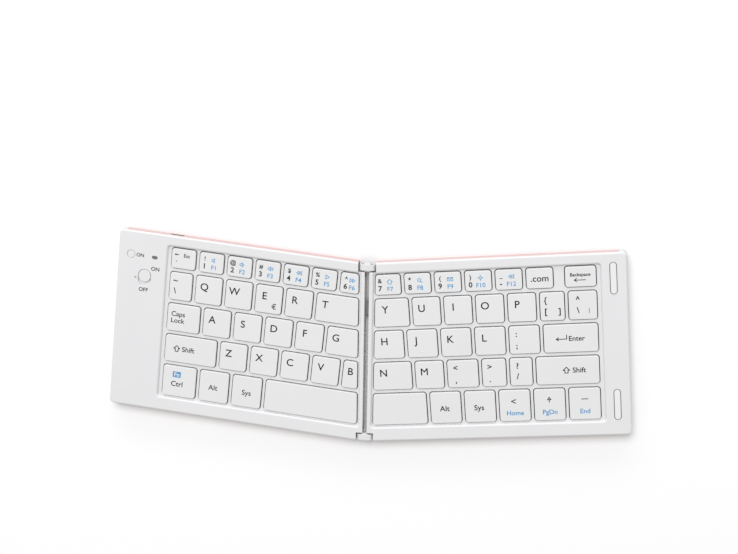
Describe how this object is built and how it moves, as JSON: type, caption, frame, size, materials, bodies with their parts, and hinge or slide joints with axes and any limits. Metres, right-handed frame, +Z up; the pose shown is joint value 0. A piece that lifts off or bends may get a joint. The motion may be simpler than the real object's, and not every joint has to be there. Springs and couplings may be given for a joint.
{
  "type": "folding keyboard",
  "caption": "Slim wireless keyboard in two halves that open flat into a shallow V and close face to face on a double-pivot hinge.",
  "frame": {"origin": "on the table under the middle of the opened keyboard's bounding box", "axes": "+X along the keyboard towards the half with the Enter key, +Y towards the number row, +Z up out of the keys"},
  "size_m": [0.291, 0.115, 0.0084],
  "materials": {
    "frame": "white moulded plastic, fine satin",
    "cover": "pale pink anodised sheet, fine blasted",
    "keycap": "white moulded plastic, smooth satin",
    "steel": "plain rolled steel",
    "contact_sheet": "clear film with silicone domes",
    "foot": "white silicone rubber",
    "link": "white plastic, polished by wear",
    "flex": "amber film",
    "cell": "foil pouch",
    "board": "green circuit board",
    "socket": "plated sheet",
    "light": "smoked light pipe",
    "pad": "pale grey silicone rubber"
  },
  "bodies": {
    "left_half": {"left_top_frame": "frame", "left_back_cover": "cover", "left_key_plate": "steel", "left_contact_sheet": "contact_sheet", "left_feet": "foot", "left_hinge_brackets": "steel", "battery": "cell", "circuit_board": "board", "charging_socket": "socket", "status_light": "light", "flex_cable": "flex"},
    "hinge_links": {"hinge_links": "link"},
    "right_half": {"right_top_frame": "frame", "right_back_cover": "cover", "right_key_plate": "steel", "right_contact_sheet": "contact_sheet", "right_feet": "foot", "right_hinge_brackets": "steel", "closing_pads": "pad"},
    "left_number_keys": {"left_number_keys": "keycap"},
    "left_side_keys": {"left_side_keys": "keycap"},
    "key_q": {"key_q": "keycap"},
    "key_w": {"key_w": "keycap"},
    "key_e": {"key_e": "keycap"},
    "key_r": {"key_r": "keycap"},
    "key_t": {"key_t": "keycap"},
    "key_caps_lock": {"key_caps_lock": "keycap"},
    "key_a": {"key_a": "keycap"},
    "key_s": {"key_s": "keycap"},
    "key_d": {"key_d": "keycap"},
    "key_f": {"key_f": "keycap"},
    "key_g": {"key_g": "keycap"},
    "key_left_shift": {"key_left_shift": "keycap"},
    "key_z": {"key_z": "keycap"},
    "key_x": {"key_x": "keycap"},
    "key_c": {"key_c": "keycap"},
    "key_v": {"key_v": "keycap"},
    "key_b": {"key_b": "keycap"},
    "key_ctrl": {"key_ctrl": "keycap"},
    "key_left_space": {"key_left_space": "keycap"},
    "right_number_keys": {"right_number_keys": "keycap"},
    "right_symbol_keys": {"right_symbol_keys": "keycap"},
    "right_bottom_keys": {"right_bottom_keys": "keycap"},
    "key_backspace": {"key_backspace": "keycap"},
    "key_p": {"key_p": "keycap"},
    "key_o": {"key_o": "keycap"},
    "key_i": {"key_i": "keycap"},
    "key_u": {"key_u": "keycap"},
    "key_y": {"key_y": "keycap"},
    "key_enter": {"key_enter": "keycap"},
    "key_l": {"key_l": "keycap"},
    "key_k": {"key_k": "keycap"},
    "key_j": {"key_j": "keycap"},
    "key_h": {"key_h": "keycap"},
    "key_right_shift": {"key_right_shift": "keycap"},
    "key_m": {"key_m": "keycap"},
    "key_n": {"key_n": "keycap"},
    "key_right_space": {"key_right_space": "keycap"},
    "pairing_button": {"pairing_button": "frame"},
    "power_switch": {"power_switch": "frame"}
  },
  "joints": [
    {"name": "link_fold", "type": "hinge", "parent": "left_half", "child": "hinge_links", "pos_m": [-0.0025, -0.00656, 0.0059], "axis": [0, -1, 0], "range_deg": [0, 90], "deforming": ["flex_cable"]},
    {"name": "right_fold", "type": "hinge", "parent": "hinge_links", "child": "right_half", "pos_m": [0.0025, -0.00656, 0.0059], "axis": [0, -1, 0], "range_deg": [0, 90], "deforming": ["flex_cable"]},
    {"name": "left_number_keys_press", "type": "slide", "parent": "left_half", "child": "left_number_keys", "axis": [0, 0, 1], "range_m": [-0.0012, 0], "stiffness_N_per_m": 250},
    {"name": "left_side_keys_press", "type": "slide", "parent": "left_half", "child": "left_side_keys", "axis": [0, 0, 1], "range_m": [-0.0012, 0], "stiffness_N_per_m": 250},
    {"name": "key_q_press", "type": "slide", "parent": "left_half", "child": "key_q", "axis": [0, 0, 1], "range_m": [-0.0012, 0], "stiffness_N_per_m": 250},
    {"name": "key_w_press", "type": "slide", "parent": "left_half", "child": "key_w", "axis": [0, 0, 1], "range_m": [-0.0012, 0], "stiffness_N_per_m": 250},
    {"name": "key_e_press", "type": "slide", "parent": "left_half", "child": "key_e", "axis": [0, 0, 1], "range_m": [-0.0012, 0], "stiffness_N_per_m": 250},
    {"name": "key_r_press", "type": "slide", "parent": "left_half", "child": "key_r", "axis": [0, 0, 1], "range_m": [-0.0012, 0], "stiffness_N_per_m": 250},
    {"name": "key_t_press", "type": "slide", "parent": "left_half", "child": "key_t", "axis": [0, 0, 1], "range_m": [-0.0012, 0], "stiffness_N_per_m": 250},
    {"name": "key_caps_lock_press", "type": "slide", "parent": "left_half", "child": "key_caps_lock", "axis": [0, 0, 1], "range_m": [-0.0012, 0], "stiffness_N_per_m": 250},
    {"name": "key_a_press", "type": "slide", "parent": "left_half", "child": "key_a", "axis": [0, 0, 1], "range_m": [-0.0012, 0], "stiffness_N_per_m": 250},
    {"name": "key_s_press", "type": "slide", "parent": "left_half", "child": "key_s", "axis": [0, 0, 1], "range_m": [-0.0012, 0], "stiffness_N_per_m": 250},
    {"name": "key_d_press", "type": "slide", "parent": "left_half", "child": "key_d", "axis": [0, 0, 1], "range_m": [-0.0012, 0], "stiffness_N_per_m": 250},
    {"name": "key_f_press", "type": "slide", "parent": "left_half", "child": "key_f", "axis": [0, 0, 1], "range_m": [-0.0012, 0], "stiffness_N_per_m": 250},
    {"name": "key_g_press", "type": "slide", "parent": "left_half", "child": "key_g", "axis": [0, 0, 1], "range_m": [-0.0012, 0], "stiffness_N_per_m": 250},
    {"name": "key_left_shift_press", "type": "slide", "parent": "left_half", "child": "key_left_shift", "axis": [0, 0, 1], "range_m": [-0.0012, 0], "stiffness_N_per_m": 250},
    {"name": "key_z_press", "type": "slide", "parent": "left_half", "child": "key_z", "axis": [0, 0, 1], "range_m": [-0.0012, 0], "stiffness_N_per_m": 250},
    {"name": "key_x_press", "type": "slide", "parent": "left_half", "child": "key_x", "axis": [0, 0, 1], "range_m": [-0.0012, 0], "stiffness_N_per_m": 250},
    {"name": "key_c_press", "type": "slide", "parent": "left_half", "child": "key_c", "axis": [0, 0, 1], "range_m": [-0.0012, 0], "stiffness_N_per_m": 250},
    {"name": "key_v_press", "type": "slide", "parent": "left_half", "child": "key_v", "axis": [0, 0, 1], "range_m": [-0.0012, 0], "stiffness_N_per_m": 250},
    {"name": "key_b_press", "type": "slide", "parent": "left_half", "child": "key_b", "axis": [0, 0, 1], "range_m": [-0.0012, 0], "stiffness_N_per_m": 250},
    {"name": "key_ctrl_press", "type": "slide", "parent": "left_half", "child": "key_ctrl", "axis": [0, 0, 1], "range_m": [-0.0012, 0], "stiffness_N_per_m": 250},
    {"name": "key_left_space_press", "type": "slide", "parent": "left_half", "child": "key_left_space", "axis": [0, 0, 1], "range_m": [-0.0012, 0], "stiffness_N_per_m": 250},
    {"name": "right_number_keys_press", "type": "slide", "parent": "right_half", "child": "right_number_keys", "axis": [0, 0, 1], "range_m": [-0.0012, 0], "stiffness_N_per_m": 250},
    {"name": "right_symbol_keys_press", "type": "slide", "parent": "right_half", "child": "right_symbol_keys", "axis": [0, 0, 1], "range_m": [-0.0012, 0], "stiffness_N_per_m": 250},
    {"name": "right_bottom_keys_press", "type": "slide", "parent": "right_half", "child": "right_bottom_keys", "axis": [0, 0, 1], "range_m": [-0.0012, 0], "stiffness_N_per_m": 250},
    {"name": "key_backspace_press", "type": "slide", "parent": "right_half", "child": "key_backspace", "axis": [0, 0, 1], "range_m": [-0.0012, 0], "stiffness_N_per_m": 250},
    {"name": "key_p_press", "type": "slide", "parent": "right_half", "child": "key_p", "axis": [0, 0, 1], "range_m": [-0.0012, 0], "stiffness_N_per_m": 250},
    {"name": "key_o_press", "type": "slide", "parent": "right_half", "child": "key_o", "axis": [0, 0, 1], "range_m": [-0.0012, 0], "stiffness_N_per_m": 250},
    {"name": "key_i_press", "type": "slide", "parent": "right_half", "child": "key_i", "axis": [0, 0, 1], "range_m": [-0.0012, 0], "stiffness_N_per_m": 250},
    {"name": "key_u_press", "type": "slide", "parent": "right_half", "child": "key_u", "axis": [0, 0, 1], "range_m": [-0.0012, 0], "stiffness_N_per_m": 250},
    {"name": "key_y_press", "type": "slide", "parent": "right_half", "child": "key_y", "axis": [0, 0, 1], "range_m": [-0.0012, 0], "stiffness_N_per_m": 250},
    {"name": "key_enter_press", "type": "slide", "parent": "right_half", "child": "key_enter", "axis": [0, 0, 1], "range_m": [-0.0012, 0], "stiffness_N_per_m": 250},
    {"name": "key_l_press", "type": "slide", "parent": "right_half", "child": "key_l", "axis": [0, 0, 1], "range_m": [-0.0012, 0], "stiffness_N_per_m": 250},
    {"name": "key_k_press", "type": "slide", "parent": "right_half", "child": "key_k", "axis": [0, 0, 1], "range_m": [-0.0012, 0], "stiffness_N_per_m": 250},
    {"name": "key_j_press", "type": "slide", "parent": "right_half", "child": "key_j", "axis": [0, 0, 1], "range_m": [-0.0012, 0], "stiffness_N_per_m": 250},
    {"name": "key_h_press", "type": "slide", "parent": "right_half", "child": "key_h", "axis": [0, 0, 1], "range_m": [-0.0012, 0], "stiffness_N_per_m": 250},
    {"name": "key_right_shift_press", "type": "slide", "parent": "right_half", "child": "key_right_shift", "axis": [0, 0, 1], "range_m": [-0.0012, 0], "stiffness_N_per_m": 250},
    {"name": "key_m_press", "type": "slide", "parent": "right_half", "child": "key_m", "axis": [0, 0, 1], "range_m": [-0.0012, 0], "stiffness_N_per_m": 250},
    {"name": "key_n_press", "type": "slide", "parent": "right_half", "child": "key_n", "axis": [0, 0, 1], "range_m": [-0.0012, 0], "stiffness_N_per_m": 250},
    {"name": "key_right_space_press", "type": "slide", "parent": "right_half", "child": "key_right_space", "axis": [0, 0, 1], "range_m": [-0.0012, 0], "stiffness_N_per_m": 250},
    {"name": "pairing_button_press", "type": "slide", "parent": "left_half", "child": "pairing_button", "axis": [0, 0, 1], "range_m": [-0.0005, 0], "stiffness_N_per_m": 400},
    {"name": "power_switch_slide", "type": "slide", "parent": "left_half", "child": "power_switch", "axis": [-0.0958, -0.9954, 0], "range_m": [0, 0.002]}
  ]
}
